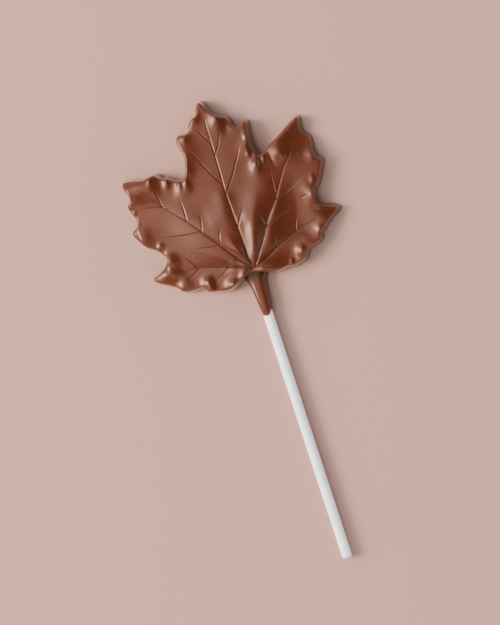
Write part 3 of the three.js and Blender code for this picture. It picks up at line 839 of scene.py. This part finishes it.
class OBJECT_OT_lollipop_stalk(bpy.types.Operator):
    """Makes the chocolate stalk that holds the stick"""
    bl_idname = "object.lollipop_stalk"
    bl_label = "Make Stalk"

    segments = 72
    # The rows behind the lip: how many, how far in they start, and how they crowd at the mouth.
    rows, row_start, crowding = 96, 0.28, 1.4
    # The rim's painted glow reaches this far in from the mouth, and the crease has so many times a
    # groove's full painted shade.
    rim_inwards, crease_shade = 0.9, 3
    # The sides have this share of the wall's coat and painted reflection. It is gone at a height,
    # and full so far below.
    side_shade, side_gone, side_fade = 0.6, 4.94, 1.9

    def execute(self, context):
        settings = context.scene.lollipop_leaf
        table = np.array(STALK_SECTIONS)
        start, end = table[0, 0], table[-1, 0]
        rows = [(share, step, start) for share, step in STALK_LIP]
        rows += [(1.0, self.row_start, start + (end - start) * share ** self.crowding)
                 for share in np.linspace(0, 1, self.rows)]
        bm = bmesh.new()
        rim_shade, groove_shade, wall_shade = shade_layers(bm)
        ring = bmesh.ops.create_circle(bm, cap_ends=False, segments=self.segments,
                                       radius=1.0)["verts"]
        loop = list(dict.fromkeys(edge for vertex in ring for edge in vertex.link_edges))
        order = walk(loop)
        turns = [2 * math.pi * k / len(order) for k in range(len(order))]
        bmesh.ops.contextual_create(bm, geom=loop)
        for number, (share, step, y) in enumerate(rows):
            if number:
                loop, order = next_row(bm, loop, order)
            left, right, foot_out, top = (float(np.interp(y, table[:, 0], table[:, k]))
                                          for k in (1, 2, 3, 4))
            open_share = eased((MOUTH_END - y) / (MOUTH_END - start))
            crease = eased((y - CREASE_END) / (CREASE_FULL - CREASE_END))
            fullness = float(np.interp(y, *zip(*STALK_FULLNESS)))
            for vertex, turn in zip(order, turns):
                x, z = self.section_place(left, right, foot_out, top, turn, fullness)
                edge = float(np.interp(x, *zip(*STALK_MOUTH)))
                x, z = x * share, AXIS_HEIGHT + (z - AXIS_HEIGHT) * share
                along = y + (edge - start) * open_share + step * open_share
                vertex.co = Vector((x * MM, along * MM, z * MM))
                # Painted glow at the lip, painted shade in the crease, and the sides' coat and
                # painted reflection.
                vertex[rim_shade] = max(0.0, 1 - max(0.0, y - start) / self.rim_inwards)
                vertex[groove_shade] = self.crease_shade * crease
                vertex[wall_shade] = self.side_shade * eased((self.side_gone - z) / self.side_fade)
        bmesh.ops.contextual_create(bm, geom=loop)
        bmesh.ops.recalc_face_normals(bm, faces=bm.faces)
        finished("leaf_stalk", bm, milk_chocolate(settings.chocolate), "leaf")
        return {"FINISHED"}

    @staticmethod
    def section_place(left, right, foot_out, top, turn, fullness):
        """A place on one section: a full half oval on two sides and a flat foot."""
        across, up = math.cos(turn), math.sin(turn)
        middle, half = (left + right) / 2, (right - left) / 2
        if up >= 0:
            return (middle + half * math.copysign(abs(across) ** (2 / fullness), across),
                    STALK_SHOULDER + (top - STALK_SHOULDER) * up ** (2 / fullness))
        # The sides run down over the next 30 degrees, and the flat foot over the 120 between.
        side = min(1.0, -2 * up)
        if side < 1.0:
            return (middle + math.copysign(half + foot_out * side, across),
                    STALK_SHOULDER * (1 - side))
        return middle + (half + foot_out) * across / math.cos(math.pi / 6), 0.0


class OBJECT_OT_lollipop_stick(bpy.types.Operator):
    """Makes the rolled paper stick"""
    bl_idname = "object.lollipop_stick"
    bl_label = "Make Stick"

    sides = 72
    # Steps of the outline: round the end, and along the rest.
    end_steps, long_steps = 8, 11

    def execute(self, context):
        settings = context.scene.lollipop_stick
        radius = settings.diameter / 2
        low, high = stick_low.y, stick_high.y
        axis_z = (stick_low.z + stick_high.z) / 2
        corner = settings.end_round
        profile = [(0.0, low)]
        for k in range(self.end_steps + 1):
            turn = math.pi / 2 * k / self.end_steps
            profile.append((radius - corner * (1 - math.sin(turn)),
                            low + corner * (1 - math.cos(turn))))
        reach = high - low - corner
        for k in range(1, self.long_steps + 1):
            profile.append((radius, low + corner + reach * k / self.long_steps))
        profile.append((0.0, high))
        bm = bmesh.new()
        line = [bm.verts.new((r, y, axis_z)) for r, y in profile]
        edges = [bm.edges.new(pair) for pair in zip(line, line[1:])]
        bmesh.ops.spin(bm, geom=line + edges, cent=(0, 0, axis_z), axis=(0, 1, 0), dvec=(0, 0, 0),
                       angle=2 * math.pi, steps=self.sides, use_merge=True, use_duplicate=False)
        bmesh.ops.remove_doubles(bm, verts=bm.verts, dist=1e-7)
        bmesh.ops.recalc_face_normals(bm, faces=bm.faces)
        finished("stick_roll", bm, white_paper(settings.paper), "stick")
        return {"FINISHED"}


class OBJECT_OT_lollipop_stage(bpy.types.Operator):
    """Makes the floor, the soft lights and the camera"""
    bl_idname = "object.lollipop_stage"
    bl_label = "Make Stage"

    # What the camera looks at, and how much of it the long side of the image takes in.
    look_at = (-6.8 * MM, -16.1 * MM, AXIS_HEIGHT * MM)
    view_long_side = 250 * MM
    floor_size = 4.0
    # The lights: the place in the leaf that they turn to, and their sizes and colours.
    lit_place = (0, 20 * MM, 0)
    key_size, key_colour = 1.0, (1.0, 0.94, 0.90)
    top_size, top_colour = 1.8, (1.0, 1.0, 1.0)
    end_size, end_colour = 1.4, (0.78, 0.97, 1.0)
    # Where the lights stand around the leaf, turned from +X.
    from_left, from_tip, from_stick = math.radians(166), math.radians(120), math.radians(-90)
    # The room's glow: its strength from above and from around, and the sines of the heights
    # above the horizon between which one turns into the other.
    glow_colour = (0.78, 0.97, 1.08, 1.0)
    glow_above, glow_around = 0.03, 2.3
    glow_low, glow_high = 0.22, 0.62

    def execute(self, context):
        settings = context.scene.lollipop_stage
        self.make_floor(settings)
        self.make_lights(settings)
        self.make_world()
        self.make_camera(settings)
        return {"FINISHED"}

    def make_floor(self, settings):
        bm = bmesh.new()
        bmesh.ops.create_grid(bm, x_segments=4, y_segments=4, size=self.floor_size / 2)
        mesh = bpy.data.meshes.new("floor")
        bm.to_mesh(mesh)
        bm.free()
        floor = bpy.data.objects.new("floor", mesh)
        bpy.context.scene.collection.objects.link(floor)
        material = bpy.data.materials.new("pale_surface")
        material.use_nodes = True
        board = Board(material.node_tree)
        surface = board.node("ShaderNodeBsdfPrincipled", None, {
            "Base Color": rgba(settings.floor), "Roughness": 0.9, "Specular IOR Level": 0.2})
        board.node("ShaderNodeOutputMaterial", None, {"Surface": surface.outputs["BSDF"]})
        mesh.materials.append(material)

    def make_lights(self, settings):
        lights = [
            ("key_light", self.from_left, settings.key_height, settings.key_power,
             self.key_size, self.key_colour),
            ("top_light", self.from_left, settings.top_height, settings.top_power,
             self.top_size, self.top_colour),
            ("tip_light", self.from_tip, settings.end_height, settings.tip_power,
             self.end_size, self.end_colour),
            ("stick_light", self.from_stick, settings.end_height, settings.stick_power,
             self.end_size, self.end_colour),
        ]
        for name, turn, rise, power, size, colour in lights:
            light = self.make_light(name, turn, rise, settings.light_distance)
            data = light.data
            data.shape, data.size, data.energy, data.color = "DISK", size, power, colour

    def make_world(self):
        """A room that glows from around and hardly from above."""
        world = bpy.data.worlds.new("studio")
        world.use_nodes = True
        board = Board(world.node_tree)
        way = board.node("ShaderNodeTexCoord").outputs["Generated"]
        split = board.node("ShaderNodeSeparateXYZ", None, {"Vector": way})
        upwards = Value(board, split.outputs["Z"])
        strength = upwards.fitted(self.glow_low, self.glow_high, self.glow_around,
                                  self.glow_above)
        glow = board.node("ShaderNodeBackground", None, {
            "Color": self.glow_colour, "Strength": strength})
        board.node("ShaderNodeOutputWorld", None, {"Surface": glow.outputs["Background"]})
        bpy.context.scene.world = world

    def make_light(self, name, turn, rise, distance):
        """A soft light turned to the leaf."""
        level = Vector((math.cos(turn), math.sin(turn), 0))
        way = level * math.cos(rise) + Vector((0, 0, math.sin(rise)))
        target = Vector(self.lit_place)
        light = bpy.data.objects.new(name, bpy.data.lights.new(name, "AREA"))
        light.matrix_world = (Matrix.Translation(target + way * distance)
                              @ way.to_track_quat("Z", "Y").to_matrix().to_4x4())
        bpy.context.scene.collection.objects.link(light)
        return light

    def make_camera(self, settings):
        data = bpy.data.cameras.new("camera")
        distance = settings.camera_distance
        data.lens = data.sensor_width * distance / self.view_long_side
        data.clip_start, data.clip_end = 0.01, 20.0
        camera = bpy.data.objects.new("camera", data)
        back = Vector((math.sin(VIEW_TILT), 0, math.cos(VIEW_TILT)))
        across = Vector((math.cos(VIEW_TILT), 0, -math.sin(VIEW_TILT)))
        along = Vector((0, 1, 0))
        right = math.cos(VIEW_TURN) * across - math.sin(VIEW_TURN) * along
        up = math.sin(VIEW_TURN) * across + math.cos(VIEW_TURN) * along
        turn = Matrix((right, up, back)).transposed().to_4x4()
        camera.matrix_world = Matrix.Translation(Vector(self.look_at) + back * distance) @ turn
        bpy.context.scene.collection.objects.link(camera)
        bpy.context.scene.camera = camera


class VIEW3D_PT_lollipop(bpy.types.Panel):
    bl_idname = "VIEW3D_PT_lollipop"
    bl_label = "Chocolate Leaf Lollipop"
    bl_space_type = "VIEW_3D"
    bl_region_type = "UI"
    bl_category = "Lollipop"

    def draw(self, context):
        for name, operators in PANEL_ROWS:
            settings = getattr(context.scene, name)
            for field in settings.bl_rna.properties.keys():
                if field not in {"rna_type", "name"}:
                    self.layout.prop(settings, field)
            for operator in operators:
                self.layout.operator(operator)


PANEL_ROWS = [
    ("lollipop_leaf", ["object.lollipop_leaf", "object.lollipop_stalk"]),
    ("lollipop_stick", ["object.lollipop_stick"]),
    ("lollipop_stage", ["object.lollipop_stage"]),
]
SETTINGS = {
    "lollipop_leaf": LeafSettings, "lollipop_stick": StickSettings,
    "lollipop_stage": StageSettings,
}
CLASSES = [
    LeafSettings, StickSettings, StageSettings, OBJECT_OT_lollipop_leaf,
    OBJECT_OT_lollipop_stalk, OBJECT_OT_lollipop_stick, OBJECT_OT_lollipop_stage,
    VIEW3D_PT_lollipop,
]


def register():
    for cls in CLASSES:
        bpy.utils.register_class(cls)
    for name, settings in SETTINGS.items():
        setattr(bpy.types.Scene, name, PointerProperty(type=settings))


def unregister():
    for name in SETTINGS:
        delattr(bpy.types.Scene, name)
    for cls in reversed(CLASSES):
        bpy.utils.unregister_class(cls)


def main():
    register()
    bpy.ops.object.lollipop_leaf()
    bpy.ops.object.lollipop_stalk()
    bpy.ops.object.lollipop_stick()
    bpy.ops.object.lollipop_stage()
    bpy.context.view_layer.update()


if __name__ == "__main__":
    main()
